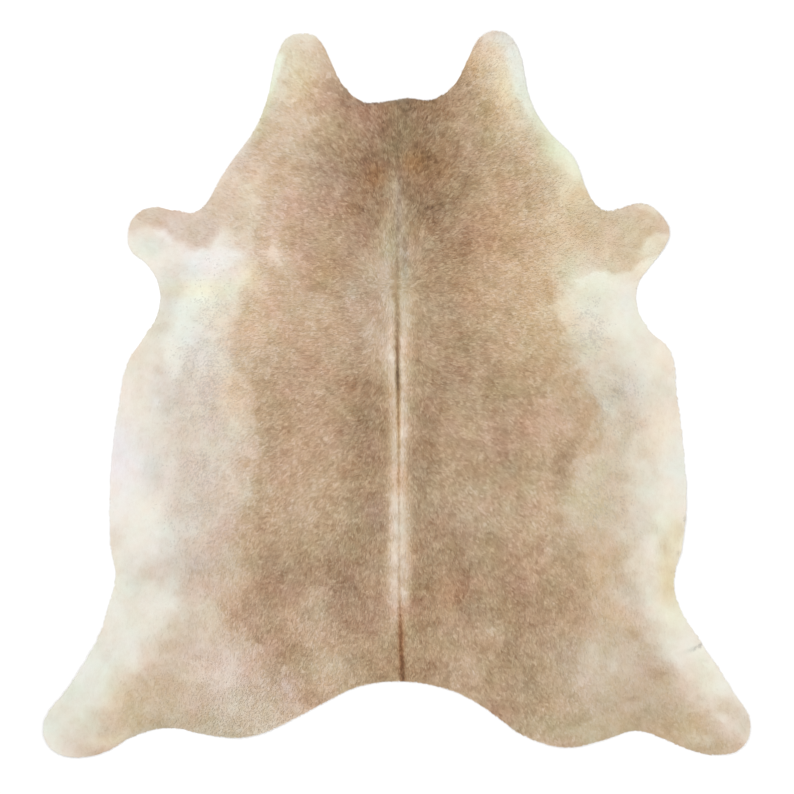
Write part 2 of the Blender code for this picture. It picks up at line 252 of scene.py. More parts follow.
# Fainter clouds over them, whose borders don't wander. Columns as above.
CLOUDS = [
    ("left lobe's root", -80, 635, 40, 40, 0, -0.09),
    ("left neck's inside", -150, 740, 40, 40, 0, 0.07),
    ("left shoulder's top", -310, 680, 45, 40, 0, 0.08),
    ("left foreleg's tip", -785, 518, 45, 40, 0, -0.20),
    ("left armpit's top", -560, 290, 45, 40, 0, 0.07),
    ("left flank's dark cloud", -740, -240, 40, 50, 0, -0.07),
    ("left flank's pale cloud", -640, -420, 45, 50, 0, 0.10),
    ("left stifle's edge", -860, -440, 40, 50, 0, -0.09),
    ("left stifle's upper edge", -790, -540, 45, 90, 0, -0.06),
    ("left loin's pale cloud", -210, -460, 40, 40, 0, 0.07),
    ("left rump's dark cloud", -280, -580, 45, 35, 0, -0.08),
    ("left rump's pale cloud", -435, -690, 50, 35, -50, 0.10),
    ("left rump's inside", -280, -720, 35, 35, 0, -0.08),
    ("left thigh's pale cloud", -328, -866, 40, 40, 0, 0.16),
    ("left tail side's edge", -260, -920, 35, 30, 0, -0.08),
    ("left hind foot's end", -960, -1020, 40, 35, 0, -0.08),
    ("left hind foot's inside", -830, -1010, 40, 30, 0, 0.07),
    ("right lobe's inside", 210, 980, 40, 40, 0, -0.11),
    ("right lobe's root", 130, 870, 40, 35, 0, -0.08),
    ("right neck's edge", 410, 740, 40, 40, 0, -0.08),
    ("right neck's pale cloud", 320, 760, 35, 35, 0, 0.07),
    ("right withers pale", 90, 630, 40, 40, 0, 0.12),
    ("right withers' lower pale", 90, 450, 36, 40, 0, 0.11),
    ("right shoulder's dark cloud", 430, 480, 40, 40, 0, -0.08),
    ("right shoulder's pale cloud", 420, 370, 35, 40, 0, 0.11),
    ("right armpit's dark cloud", 490, 340, 35, 35, 0, -0.12),
    ("right foreleg's lower side", 700, 360, 45, 25, 0, -0.07),
    ("right ribs' inside", 340, 260, 40, 40, 0, -0.07),
    ("right ribs' dark cloud", 370, 140, 45, 45, 0, -0.10),
    ("right flank's pale cloud", 703, -195, 35, 50, 0, 0.08),
    ("right of the rust streak", 572, -140, 28, 36, 0, 0.08),
    ("left of the rust streak", 460, -200, 30, 40, 0, 0.07),
    ("right loin's dark cloud", 350, -260, 35, 40, 0, -0.08),
    ("right loin's pale cloud", 230, -300, 35, 35, 0, 0.08),
    ("right belly's dark cloud", 680, -370, 32, 40, 0, -0.10),
    ("right belly's pale cloud", 700, -440, 40, 25, 0, 0.07),
    ("right rump's top", 290, -480, 40, 40, 0, -0.08),
    ("beside the tail head", 80, -530, 30, 45, 0, 0.12),
    ("right rump's pale side", 480, -560, 40, 45, 0, 0.09),
    ("right stifle's inside", 610, -550, 30, 80, 0, -0.09),
    ("right stifle's dark cloud", 740, -520, 40, 35, 0, -0.08),
    ("right thigh's top", 440, -690, 40, 40, 0, -0.10),
    ("right rump's lower pale", 270, -700, 32, 35, 0, 0.08),
    ("right thigh's pale cloud", 540, -810, 40, 40, 0, 0.08),
    ("right of the tail root", 100, -800, 32, 40, 0, -0.08),
    ("right tail side's edge", 310, -960, 50, 36, 0, -0.11),
    ("right hind leg's cloud", 900, -850, 45, 45, 0, -0.09),
    ("right hind foot's inside", 680, -1020, 60, 28, 0, -0.09),
    ("right hind foot's cloud", 880, -1000, 40, 30, 0, -0.08),
    ("right hind foot's side", 1010, -950, 35, 35, 0, -0.09),
    ("left neck's pale spot", -175, 655, 30, 30, 0, 0.12),
    ("left neck's edge cloud", -405, 745, 28, 28, 0, -0.13),
    ("left lobe's inner root", -165, 905, 40, 20, -50, -0.11),
    ("left shoulder's edge cloud", -480, 515, 35, 30, 0, -0.11),
    ("left shoulder's upright cloud", -270, 400, 22, 60, 0, -0.12),
    ("left shoulder's cross cloud", -185, 315, 40, 22, 0, -0.11),
    ("left saddle's border cloud", -470, -215, 25, 60, 0, -0.11),
    ("left loin's pale streak", -445, -505, 65, 24, -61, 0.12),
    ("left rump's spot", -500, -700, 28, 25, 0, -0.12),
    ("right neck's spot", 120, 695, 25, 25, 0, -0.11),
    ("right withers' spot", 125, 545, 28, 40, 0, -0.11),
    ("right of the withers' line", 44, 620, 20, 35, 0, 0.12),
    ("right shoulder's pale spot", 250, 580, 35, 25, 0, 0.10),
    ("right foreleg's tip", 750, 445, 30, 18, 35, -0.11),
    ("right back's upright cloud", 268, 145, 18, 60, 0, -0.11),
    ("right of the darkest line", 66, -40, 24, 30, 0, 0.12),
    ("rust streak's top", 490, -155, 20, 30, 0, -0.11),
    ("right flank's spot", 592, -215, 22, 28, 0, -0.10),
    ("right loin's pale spot", 180, -375, 30, 35, 0, 0.11),
    ("right loin's dark spot", 108, -395, 28, 28, 0, -0.11),
    ("right rump's upright cloud", 168, -505, 18, 35, 0, -0.12),
    ("right rump's spot", 500, -600, 28, 25, 0, -0.11),
    ("right rump's lower spot", 318, -710, 25, 28, 0, -0.11),
    ("right belly's edge", 812, -450, 20, 40, 0, -0.12),
    ("right thigh's dark cloud", 408, -845, 30, 40, 0, -0.10),
    ("right thigh's dark border", 722, -720, 30, 22, -45, -0.12),
    ("right hind foot's streak", 925, -1015, 45, 14, -35, -0.10),
    ("left shoulder's pale side", -335, 400, 50, 32, 0, 0.10),
    ("left shoulder's lower pale", -245, 240, 25, 35, 0, 0.11),
    ("left ribs' pale streak", -335, 65, 80, 20, 0, 0.11),
    ("left ribs' pale inside", -595, 95, 35, 55, 0, 0.05),
    ("left loin's pale side", -350, -290, 80, 22, 0, 0.07),
    ("left rump's pale knot", -470, -622, 18, 25, 0, 0.10),
    ("right lobe's pale tip", 300, 1075, 40, 25, 0, 0.05),
    ("right lobe's lower pale", 262, 905, 24, 32, 0, 0.08),
    ("right neck's pale spot", 125, 635, 22, 22, 0, 0.12),
    ("right neck's upper pale", 100, 770, 28, 28, 0, 0.09),
    ("right shoulder's top pale", 375, 642, 22, 20, 0, 0.09),
    ("right of the back's line", 45, 115, 12, 28, 0, 0.13),
    ("right ribs' pale spot", 432, 65, 24, 35, 0, 0.12),
    ("right saddle's border", 572, 40, 18, 35, 0, 0.10),
    ("outside the rust streak", 618, -75, 18, 35, 0, 0.13),
    ("right loin's pale knot", 268, -390, 25, 20, 0, 0.12),
    ("right rump's pale top", 250, -572, 60, 18, 0, 0.09),
    ("left of the neck's middle", -72, 812, 36, 45, 0, -0.05),
    ("left lobe's dark root", -300, 870, 45, 35, 0, -0.09),
    ("left neck's dark spot", -167, 832, 25, 22, 0, -0.10),
    ("left neck's lower dark spot", -140, 685, 20, 20, 0, -0.10),
    ("left shoulder's dark knot", -180, 422, 22, 26, 0, -0.10),
    ("left ribs' dark knot", -300, 15, 26, 14, 0, -0.10),
    ("left back's dark knot", -375, -95, 20, 18, 0, -0.09),
    ("left waist's dark knot", -108, -155, 34, 20, 30, -0.10),
    ("left loin's dark knot", -125, -300, 38, 26, 0, -0.10),
    ("left loin's lower dark knot", -290, -440, 18, 24, 0, -0.10),
    ("right neck's dark knot", 105, 828, 18, 20, 0, -0.09),
    ("right shoulder's dark streak", 375, 480, 65, 18, 0, -0.09),
    ("right shoulder's dark knot", 200, 300, 26, 16, 0, -0.11),
    ("right back's dark knot", 265, -12, 24, 14, 0, -0.10),
    ("right stifle's dark knot", 592, -482, 38, 18, 0, -0.10),
    ("right thigh's dark knot", 562, -732, 28, 18, 0, -0.10),
]

# Markings with firmer borders. Columns: place, x, y, half length, half width, turn, tone inside.
MARKINGS = [
    ("left foreleg's tan", -700, 540, 165, 50, -3, 0.63),
    ("left foreleg's lower tan", -618, 500, 72, 70, 0, 0.70),
    ("left foreleg's white end", -752, 445, 66, 32, -8, 0.89),
    ("left foreleg's white", -572, 408, 105, 38, 6, 0.93),
    ("right foreleg's tan", 695, 405, 55, 48, 0, 0.70),
    ("right foreleg's cream corner", 790, 440, 50, 38, 50, 0.87),
    ("right foreleg's pale top", 735, 572, 70, 14, 0, 0.84),
    ("pale edge of the left lobe", -392, 905, 130, 17, 74, 0.93),
    ("pale edge of the right lobe", 372, 960, 150, 26, -72, 0.96),
]
MARKING_SOFT = 0.6
# How steeply a patch fades at its border.
PATCH_FADE = 2.6

# Columns: y and x of the back line.
BACK_LINE = [
    (890, 3),
    (400, 0),
    (330, -3),
    (280, 0),
    (220, 2),
    (80, 2),
    (15, 4),
    (-80, 5),
    (-580, 7),
    (-660, 9),
    (-750, 12),
    (-880, 18),
]

# The fold along the back: pale bands on its two shoulders, partly paler hair and partly painted light where
# the ridge catches it, and a dark line in the groove between, partly darker hair and partly painted shade.
# Columns: place, y, lift of the pale band, its half width, lift or depth of the line, its half width.
STRIPE = [
    ("neck cut", 890, 0.0, 30, 0.0, 8),
    ("neck", 760, 0.0, 30, 0.0, 8),
    ("withers", 690, 0.10, 28, 0.0, 8),
    ("shoulders", 620, 0.24, 32, 0.10, 8),
    ("between the forelegs", 520, 0.26, 46, 0.0, 8),
    ("forelegs' lower edge", 460, 0.26, 50, -0.14, 7),
    ("ribs", 340, 0.26, 50, -0.36, 12),
    ("lower ribs", 220, 0.32, 44, -0.40, 9),
    ("back", 150, 0.50, 42, -0.68, 8),
    ("lower back", 100, 0.51, 39, -0.72, 7),
    ("darkest", 57, 0.52, 36, -1.05, 7),
    ("above the waist", 18, 0.53, 33, -0.72, 7),
    ("waist", -30, 0.54, 31, -0.58, 6),
    ("below the waist", -90, 0.54, 29, -0.58, 5),
    ("loin", -160, 0.54, 27, -0.34, 5),
    ("lower loin", -240, 0.46, 27, -0.32, 5),
    ("loin's end", -290, 0.52, 29, -0.28, 5),
    ("croup", -340, 0.58, 32, -0.10, 4),
    ("rump", -480, 0.58, 38, -0.12, 4),
    ("above the tail head", -540, 0.60, 40, -0.16, 4),
    ("tail head", -600, 0.55, 38, -0.24, 5),
    ("below the tail head", -660, 0.28, 32, -0.38, 6),
    ("tail", -720, 0.03, 28, -0.50, 7),
    ("tail root", -800, 0.02, 26, -0.46, 7),
    ("tail cut", -870, 0.06, 28, -0.48, 8),
]
BAND_LIFT, BAND_WIDTH, LINE_DEPTH, LINE_WIDTH = range(2, 6)
BAND_FADE = 3.2
# How far the fold's colours wander, in mm, and over what length.
FOLD_WANDER = 2
FOLD_LUMP = 80 * MM

# Columns: place, x, y, half length, half width, turn, change of red, green and blue on a scale to 255.
TINTS = [
    ("yellow left lobe", -300, 970, 65, 110, 10, 1, 4, -6),
    ("cream right neck", 470, 740, 70, 200, 35, -1, 1, -5),
    ("green left lobe's edge", -392, 905, 140, 24, 74, -5, 4, -4),
    ("green right lobe's edge", 365, 980, 150, 40, -72, -8, -2, 1),
    ("yellow inside the right lobe", 320, 960, 140, 30, -78, 3, 0, -8),
    ("white foreleg", -560, 395, 120, 55, 5, -3, 0, 10),
    ("white end of the foreleg", -755, 450, 60, 40, 0, -6, 1, 4),
    ("yellow below the white", -600, 318, 150, 28, 0, 1, 0, -8),
    ("lilac left foreleg", -640, 500, 130, 70, 0, -3, -1, 5),
    ("yellow left armpit", -480, 270, 130, 130, 0, 3, 0, -6),
    ("right shoulder", 430, 330, 190, 330, 0, 3, 0, -6),
    ("yellow right foreleg", 620, 470, 170, 90, 0, 0, 0, -5),
    ("lilac left belly", -850, -180, 60, 240, 0, -2, -3, 3),
    ("grey left flank", -620, -160, 170, 380, 0, -4, 0, 4),
    ("grey left ribs", -640, 230, 120, 150, 0, -4, 2, 4),
    ("grey right flank", 640, -20, 120, 340, 0, -2, 1, -1),
    ("yellow right belly", 850, -425, 24, 60, 0, 2, -1, -9),
    ("green left hind leg", -920, -850, 260, 100, 50, -5, 1, 5),
    ("yellow left hind leg tan", -820, -950, 110, 60, 25, 1, 0, -5),
    ("pink left thigh", -570, -830, 110, 90, 0, 3, -2, 3),
    ("green right hind leg tan", 880, -1000, 150, 60, -30, -2, 2, 2),
    ("pale right hind leg", 830, -740, 80, 140, -40, -1, 0, 3),
    ("grey thigh left", -480, -860, 160, 120, 0, -3, 0, 4),
    ("grey thigh right", 700, -880, 180, 140, 0, -4, 1, 2),
    ("grey left hind foot", -650, -1020, 300, 55, 0, -6, 0, 1),
    ("grey right hind foot", 620, -1020, 220, 55, 0, -5, 0, 0),
    ("olive neck", 10, 790, 45, 120, 0, -6, 1, 2),
    ("olive back line", -2, 380, 46, 200, 0, -8, -1, 1),
    ("red withers right", 95, 690, 70, 60, 0, 3, -2, -5),
    ("pink left back", -300, 100, 200, 450, 0, 3, -1, 0),
    ("red tail line", 14, -740, 12, 100, 0, 9, -4, -8),
    ("red spot on the fold", 8, -262, 28, 55, 0, 8, -2, -6),
    ("pink left of the waist", -65, -160, 50, 45, 0, 5, -1, 1),
    ("blue darkest line", 2, 57, 9, 45, 0, -7, -2, 3),
    ("dark right of the withers' line", 25, 430, 11, 95, 0, -19, -17, -15),
    ("pale left of the back's line", -17, 185, 10, 45, 0, 11, 9, 8),
    ("warm left of the whorl", -17, 385, 12, 65, 0, -8, -10, -13),
    ("yellow whorl", -5, 315, 38, 60, 0, 2, 0, -6),
    ("orange line", 6, -80, 10, 100, 0, 4, 0, -6),
    ("orange left of the darkest line", -17, 20, 12, 55, 0, -2, -9, -12),
    ("orange right of the back's line", 27, 110, 13, 75, 0, 0, -5, -9),
    ("orange right of the loin's line", 25, -350, 13, 110, 0, -9, -13, -18),
    ("pale left of the loin's line", -17, -410, 10, 60, 0, 9, 8, 8),
    ("grey withers' line", 6, 550, 12, 110, 0, -3, -1, 6),
    ("orange spot on the neck", -60, 662, 34, 34, 0, 4, -2, -8),
    ("orange spot on the neck's right", 44, 702, 36, 30, 0, 3, -1, -9),
    ("pink left neck", -230, 905, 80, 50, 0, 5, -1, 4),
    ("lilac neck", -90, 840, 60, 90, 0, 2, -1, 4),
    ("cool left shoulder", -190, 700, 95, 80, 0, -2, 0, 4),
    ("pink left withers", -270, 570, 130, 50, 0, 4, -1, 3),
    ("orange left neck's edge", -430, 630, 50, 80, -30, 3, 0, -3),
    ("cool left neck's edge", -480, 730, 40, 70, -30, -4, 0, 4),
    ("cool left lobe's tip", -325, 1040, 60, 60, 0, -5, 0, 5),
    ("cool left lobe", -350, 960, 40, 50, 0, -5, 0, 6),
    ("olive left shoulder", -225, 365, 45, 45, 0, -1, 1, -6),
    ("cool left flank", -700, 0, 60, 80, 0, -4, 0, 6),
    ("pink left shoulder", -295, 425, 45, 50, 0, 5, -2, 2),
    ("pink left withers' side", -110, 500, 60, 40, 0, 5, -1, 2),
    ("lilac left neck's base", -190, 620, 70, 50, 0, -1, 0, 5),
    ("lilac left ribs", -600, 140, 60, 60, 0, 0, -1, 5),
    ("blue left belly", -745, -235, 40, 80, 0, -2, 0, 6),
    ("blue left stifle", -590, -515, 50, 35, 0, -1, -1, 7),
    ("pink left stifle's inside", -540, -440, 45, 60, 0, 5, -1, 3),
    ("green left rump", -250, -650, 50, 45, 0, -6, 2, -1),
    ("violet left thigh's edge", -325, -880, 35, 50, 0, 3, -2, 6),
    ("green left thigh's edge", -490, -930, 40, 40, 0, -5, 2, -2),
    ("yellow left hind foot's edge", -860, -1045, 60, 20, 5, 2, 1, -7),
    ("pink right neck's side", 315, 865, 40, 40, 0, 6, -2, 1),
    ("green right armpit", 515, 350, 35, 70, 0, -7, 2, -1),
    ("cool right ribs' inside", 550, 150, 60, 60, 0, -5, 1, 1),
    ("blue right armpit", 695, 270, 25, 40, 0, -2, 0, 6),
    ("lilac beside the loin's line", -60, -370, 35, 70, 0, 1, -1, 5),
    ("green right hind leg's top", 900, -780, 90, 35, -52, -3, 0, -2),
    ("cool left stifle's edge", -800, -530, 50, 100, 0, -6, 0, 2),
    ("pink right shoulder's middle", 200, 320, 60, 60, 0, 5, 0, 0),
    ("orange right withers' side", 300, 650, 60, 50, 0, 5, 0, -4),
    ("orange right foreleg's top", 540, 600, 60, 45, 0, 4, 0, -6),
    ("green right foreleg's inner end", 560, 400, 45, 40, 0, -6, 0, -1),
    ("yellow right foreleg's lower side", 710, 390, 60, 45, 0, 2, 0, -7),
    ("yellow right flank", 790, 90, 50, 60, 0, 2, 0, -6),
    ("green beside the rust streak", 600, -225, 32, 40, 0, -3, 1, -3),
    ("cool right flank's edge", 845, -200, 40, 80, 0, -5, 0, 3),
    ("orange right belly's inside", 600, -530, 45, 60, 0, 5, 0, -5),
    ("cool right stifle", 715, -610, 50, 40, -40, -5, 0, 1),
    ("pink right tail side", 310, -980, 50, 40, 0, 5, -1, 1),
    ("cool left armpit", -700, 320, 50, 80, 0, -2, 0, 5),
    ("yellow left shoulder's edge", -440, 370, 35, 45, 0, 1, 1, -8),
    ("cool left shoulder's edge", -510, 300, 60, 60, 0, -8, 0, 5),
    ("orange left ribs", -490, 0, 55, 75, 0, 4, 0, -6),
    ("cool beside the fold", -100, 300, 70, 180, 0, -3, 0, 4),
    ("cool left flank's edge", -815, -170, 70, 100, 0, -3, 0, 7),
    ("cool left stifle", -690, -500, 70, 130, 0, -4, 0, 4),
    ("pink left rump", -270, -650, 280, 130, 0, 3, -1, 2),
    ("pink left thigh", -400, -790, 170, 60, 20, 4, 0, 0),
    ("pink left tail side", -250, -900, 60, 60, 0, 5, 0, 0),
    ("green left thigh", -610, -850, 90, 60, 0, -3, 1, -4),
    ("green left hind foot", -980, -950, 70, 70, 0, -3, 1, -3),
    ("orange left hind foot's inner edge", -790, -1000, 70, 35, 0, 5, 0, -3),
    ("orange right thigh's edge", 650, -995, 80, 35, 0, 5, 0, -1),
    ("orange right hind foot", 905, -1000, 40, 50, 0, 4, 0, -5),
    ("orange left hind leg", -850, -880, 70, 70, 0, 3, 0, -5),
    ("pink right rump", 130, -620, 120, 50, 25, 6, 0, -1),
    ("pink right side", 440, -90, 160, 90, 0, 4, -1, 2),
    ("pink right shoulder", 290, 480, 65, 85, 0, 6, 0, 0),
    ("green right shoulder's edge", 480, 320, 60, 220, 0, -1, 0, -2),
    ("cool right armpit", 600, 300, 70, 80, 0, -6, 0, 1),
    ("green right neck's edge", 480, 770, 60, 180, 35, -7, 1, -2),
    ("olive right neck", 300, 880, 50, 80, 0, -1, 1, -6),
    ("orange right lobe's inner side", 245, 1000, 40, 55, 0, 4, 0, -8),
    ("cool right lobe's tip", 310, 1085, 50, 30, 0, -6, 0, 6),
    ("pink right neck", 190, 870, 60, 50, 0, 4, 0, 0),
    ("olive right foreleg", 755, 490, 75, 80, 0, 1, 0, -6),
    ("green right neck", 300, 775, 90, 40, 0, -3, 1, -3),
    ("olive right flank", 585, -320, 85, 60, 0, -2, 1, -6),
    ("cool right ribs", 680, 30, 120, 110, 0, -5, 0, 5),
    ("olive right belly", 805, -400, 50, 90, 0, -1, 1, -7),
    ("pink right rump's side", 405, -560, 60, 170, 0, 5, -1, 1),
    ("cool right loin", 210, -400, 50, 50, 0, -4, 0, 2),
    ("cool right flank", 765, -360, 60, 120, 0, -4, 0, 3),
    ("orange right belly", 800, -70, 50, 90, 0, 3, 0, -3),
    ("yellow right stifle's edge", 818, -535, 28, 85, 0, 3, -1, -12),
    ("orange right thigh", 680, -675, 60, 30, -35, 4, 0, -4),
    ("lilac right thigh's lower side", 515, -800, 55, 60, 0, -1, 0, 4),
    ("pink right hind leg", 780, -880, 100, 60, 0, 3, -1, 0),
    ("pink right hind foot's inner edge", 820, -1010, 75, 40, 0, 6, 0, -1),
    ("green right hind leg's upper edge", 850, -620, 60, 100, -20, -2, 1, -8),
    ("yellow right stifle", 845, -705, 45, 40, 0, 0, -3, -6),
    ("cool right hind foot's tip", 1045, -985, 25, 45, 0, -6, -2, -2),
    ("grey left hind leg", -902, -885, 42, 40, 0, -8, -5, -6),
    ("grey left hind foot's lower edge", -790, -1028, 60, 8, 25, 0, 4, 8),
    ("yellow right neck's corner", 528, 680, 35, 35, 0, -1, -4, -7),
    ("cool neck cut", -30, 886, 120, 9, 4, -7, 0, 5),
    ("cool left lobe's inner side", -170, 965, 60, 12, -66, -4, 0, 4),
]

# Columns: tone, and the hair's red, green and blue on a scale to 255.
HAIR_TONES = [
    (-0.20, 116, 88, 65),
    (0.00, 146, 116, 87),
    (0.25, 173, 147, 117),
    (0.50, 197, 173, 144),
    (0.75, 214, 197, 177),
    (0.90, 224, 215, 200),
    (1.00, 231, 228, 216),
    (1.10, 238, 238, 232),
]
# Hair turns from tan to cream from this tone on, over this much of the scale.
PALE_FROM, PALE_OVER = 0.7, 0.25

# Dapples all over, and how much of them shows at each tone. Columns: strength, size, seed; tone, share.
DAPPLES = [(0.13, 120 * MM, 31), (0.13, 32 * MM, 41)]
DAPPLES_SHOWN = [(0.5, 1.0), (0.8, 0.42), (1.0, 0.22)]

# Faint redder, greener and bluer clouds all over. Columns: seed, change of red, green and blue.
CASTS = [(101, 4.5, -1.5, 0.0), (111, 0.0, 0.7, 4.5)]
CAST_LUMP = 60 * MM

# From the 255 scale to light: the scale's own curve, then the gain that makes up for shade within the coat.
CURVE_SHIFT, CURVE_POWER = 0.055, 2.4
HAIR_GAIN = 1.03
DARKEST_SHOWN = 0.1
WHITEST_HAIR = 0.93

NOISE_CELLS = 64
NOISE_SHIFT = (32.37, 32.71)
MOTTLING_STRENGTH = 0.6
FINER_IS_FAINTER = 0.55


def eased(share):
    """A share from 0 to 1, made to start and end gently."""
    return share * share * (3 - 2 * share)


def even_noise(x, y, size, seed):
    """Smooth noise from -1 to 1 with lumps about size across."""
    grid = np.random.default_rng(seed).uniform(-1, 1, (NOISE_CELLS, NOISE_CELLS))
    u, v = x / size + NOISE_SHIFT[0], y / size + NOISE_SHIFT[1]
    i, j = np.floor(u).astype(int), np.floor(v).astype(int)
    u, v = eased(u - i), eased(v - j)
    i, j, next_i, next_j = (cell % NOISE_CELLS for cell in (i, j, i + 1, j + 1))
    near = grid[i, j] * (1 - u) + grid[next_i, j] * u
    far = grid[i, next_j] * (1 - u) + grid[next_i, next_j] * u
    return near * (1 - v) + far * v


def mottling(x, y, size, seed, octaves):
    """Noise with finer and fainter lumps within its lumps."""
    lumps = (FINER_IS_FAINTER**k * even_noise(x, y, size / 2**k, seed + k) for k in range(octaves))
    return MOTTLING_STRENGTH * sum(lumps)


def read_off(table, at, key, column):
    """One column of a table, straight between its rows, at each value of its key column."""
    rows = sorted(table, key=lambda row: row[key])
    return np.interp(at, [row[key] for row in rows], [row[column] for row in rows])


def along_hide(table, y, column):
    """One column of a table of places at each y."""
    return read_off(table, y / MM, 1, column)


def back_line(y):
    """Where the back line is at each y."""
    return read_off(BACK_LINE, y / MM, 0, 1) * MM


def reach(x, y, patch):
    """How far out from a patch's middle a place is: 1 on its border."""
    _, middle_x, middle_y, half_length, half_width, turn = patch
    c, s = math.cos(math.radians(turn)), math.sin(math.radians(turn))
    dx, dy = x / MM - middle_x, y / MM - middle_y
    return np.hypot((dx * c + dy * s) / half_length, (dy * c - dx * s) / half_width)


def spot(x, y, patch):
    """1 in the middle of a patch and 0 well outside it."""
    return np.exp(-(reach(x, y, patch) ** PATCH_FADE))


def past(border, soft, out):
    """0 inside a border and 1 outside it, eased over a soft width."""
    return eased(np.clip((out - border) / soft + 0.5, 0, 1))


def coat_tone(x, y):
    """The coat's tone without the fold: saddle, roan and cream, then patches, markings and dapples."""
    worn_x = x + BORDER_WANDER * mottling(x, y, BORDER_LUMP, seed=5, octaves=4)
    worn_y = y + BORDER_WANDER * mottling(x, y, BORDER_LUMP, seed=15, octaves=4)
    out = np.abs(worn_x)
    left = [along_hide(LEFT_COAT, worn_y, column) for column in COAT_COLUMNS]
    right = [along_hide(RIGHT_COAT, worn_y, column) for column in COAT_COLUMNS]
    back, side, saddle, roan, cream = np.where(worn_x < 0, left, right)
    tone = back + (side - back) * np.clip(out / (saddle * MM), 0, 1) ** SADDLE_CURVE
    tone += (roan - tone) * past(saddle * MM, SADDLE_SOFT, out)
    tone += (CREAM_TONE - tone) * past(cream * MM, CREAM_SOFT, out)
    for *patch, change in PATCHES:
        tone += change * spot(worn_x, worn_y, patch)
    for *cloud, change in CLOUDS:
        tone += change * spot(x, y, cloud)
    for *marking, inside in MARKINGS:
        tone += (inside - tone) * (1 - past(1, MARKING_SOFT, reach(worn_x, worn_y, marking)))
    dapple = sum(strength * mottling(x, y, size, seed, octaves=3) for strength, size, seed in DAPPLES)
    return tone + dapple * read_off(DAPPLES_SHOWN, tone, 0, 1)


def paleness(tone):
    """0 for tan hair and 1 for cream hair."""
    return np.clip((tone - PALE_FROM) / PALE_OVER, 0, 1)


def fold_tone(x, y):
    """What the fold along the back adds to the tone, in part painted light on its shoulders and painted
    shade in its groove.
    """
    wander = FOLD_WANDER * mottling(x, y, FOLD_LUMP, seed=61, octaves=2)
    out = (x - back_line(y)) / MM
    band = np.exp(-(np.abs((out + wander) / along_hide(STRIPE, y, BAND_WIDTH)) ** BAND_FADE))
    line = np.exp(-(((out + wander / 2) / along_hide(STRIPE, y, LINE_WIDTH)) ** 2))
    return along_hide(STRIPE, y, BAND_LIFT) * band + along_hide(STRIPE, y, LINE_DEPTH) * line


def hair_colour(x, y, tone):
    """The hair's colour as light values, from its tone and the tints of its place."""
    shown = np.stack([read_off(HAIR_TONES, tone, 0, column) for column in (1, 2, 3)], -1)
    for *patch, red, green, blue in TINTS:
        shown += spot(x, y, patch)[:, None] * np.array([red, green, blue])
    for seed, *change in CASTS:
        shown += mottling(x, y, CAST_LUMP, seed, octaves=4)[:, None] * np.array(change)
    light = ((np.clip(shown / 255, DARKEST_SHOWN, 1) + CURVE_SHIFT) / (1 + CURVE_SHIFT)) ** CURVE_POWER
    return np.minimum(HAIR_GAIN * light, WHITEST_HAIR)


# The skin: one tanned hide, 2 to 4 mm thick with its hair roots, cut by knife round its natural outline. It
# lies on the floor with the hair side up. The flesh side is suede, and the cut edge shows raw leather.
MERGED = 0.01 * MM
FACES_UP = 0.5
SET_IN = 3 * MM
SKIN_CUTS = 2
SKIN_UNEVEN, UNEVEN_LUMP = 0.3 * MM, 60 * MM
SKIN_WRINKLE, WRINKLE_LUMP = 0.12 * MM, 14 * MM
# The hair ground's colour holds painted shade over the roots: darker than the hair, but lifted under cream
# hair.
GROUND_SHADE = 0.95
PALE_GROUND = 0.12

# Small creases, dark nicks and the cuts' dark rims, whose darkness is painted shade in the colour of the
# hair and its ground, with painted light on one ridge. Columns: place, x and y of one end, x and y of the
# other, half width, height, share of the light taken out of the colour as painted shade (painted light
# where it is below nothing).
CREASES = [
    ("right hind leg pucker", 924, -753, 884, -778, 4, -1.6, 0.38),
    ("right hind leg pucker's end", 900, -768, 838, -792, 6, -0.3, 0.12),
    ("right hind leg ridge", 932, -764, 886, -794, 8, 1.2, -0.04),
    ("right hind leg fold", 940, -806, 884, -800, 5, 0.5, 0.06),
    ("left hind leg", -900, -745, -850, -770, 10, 0.5, 0.0),
    ("right flank nick", 870, -383, 869, -356, 2.5, -0.3, 0.38),
    ("right belly nick", 853, -476, 849, -491, 3.5, -0.3, 0.24),
    ("right armpit nick", 728, 320, 719, 321, 2.5, -0.3, 0.24),
    ("neck cut's left side", -100, 879, -138, 902, 5, 0, 0.14),
    ("neck cut", -88, 879, 35, 892, 5, 0, 0.25),
    ("neck cut's right side", 112, 887, 38, 892, 5, 0, 0.20),
    ("left lobe's inner side", -152, 916, -192, 1005, 9, 0, 0.16),
    ("right lobe's inner side", 135, 900, 200, 985, 6, 0, 0.15),
    ("left foreleg's hollow", -585, 560, -530, 625, 7, 0, 0.14),
]
CREASE_RISE, CREASE_SHADE = 6, 7
CREASE_FADE = 2.5


def crease(x, y, column):
    """The creases' height or painted shade at each place, fading towards the far end of each."""
    total = np.zeros(len(x))
    for row in CREASES:
        start_x, start_y, end_x, end_y, half_width = row[1:6]
        run_x, run_y = end_x - start_x, end_y - start_y
        from_x, from_y = x / MM - start_x, y / MM - start_y
        along = (from_x * run_x + from_y * run_y) / (run_x**2 + run_y**2)
        nearest = np.clip(along, 0, 1)
        across = np.hypot(from_x - nearest * run_x, from_y - nearest * run_y) / half_width
        total += row[column] * np.exp(-(across**2) - CREASE_FADE * nearest**2)
    return total


def colour_points(mesh, colours):
    """Gives each of the mesh's points its colour of the coat."""
    attribute = mesh.color_attributes.new("coat", "FLOAT_COLOR", "POINT")
    solid = np.column_stack([colours, np.ones(len(colours))])
    attribute.data.foreach_set("color", solid.astype(np.float32).ravel())


def points_of(mesh):
    """The places of a mesh's points, a row for each."""
    places = np.empty(len(mesh.vertices) * 3)
    mesh.vertices.foreach_get("co", places)
    return places.reshape(-1, 3)


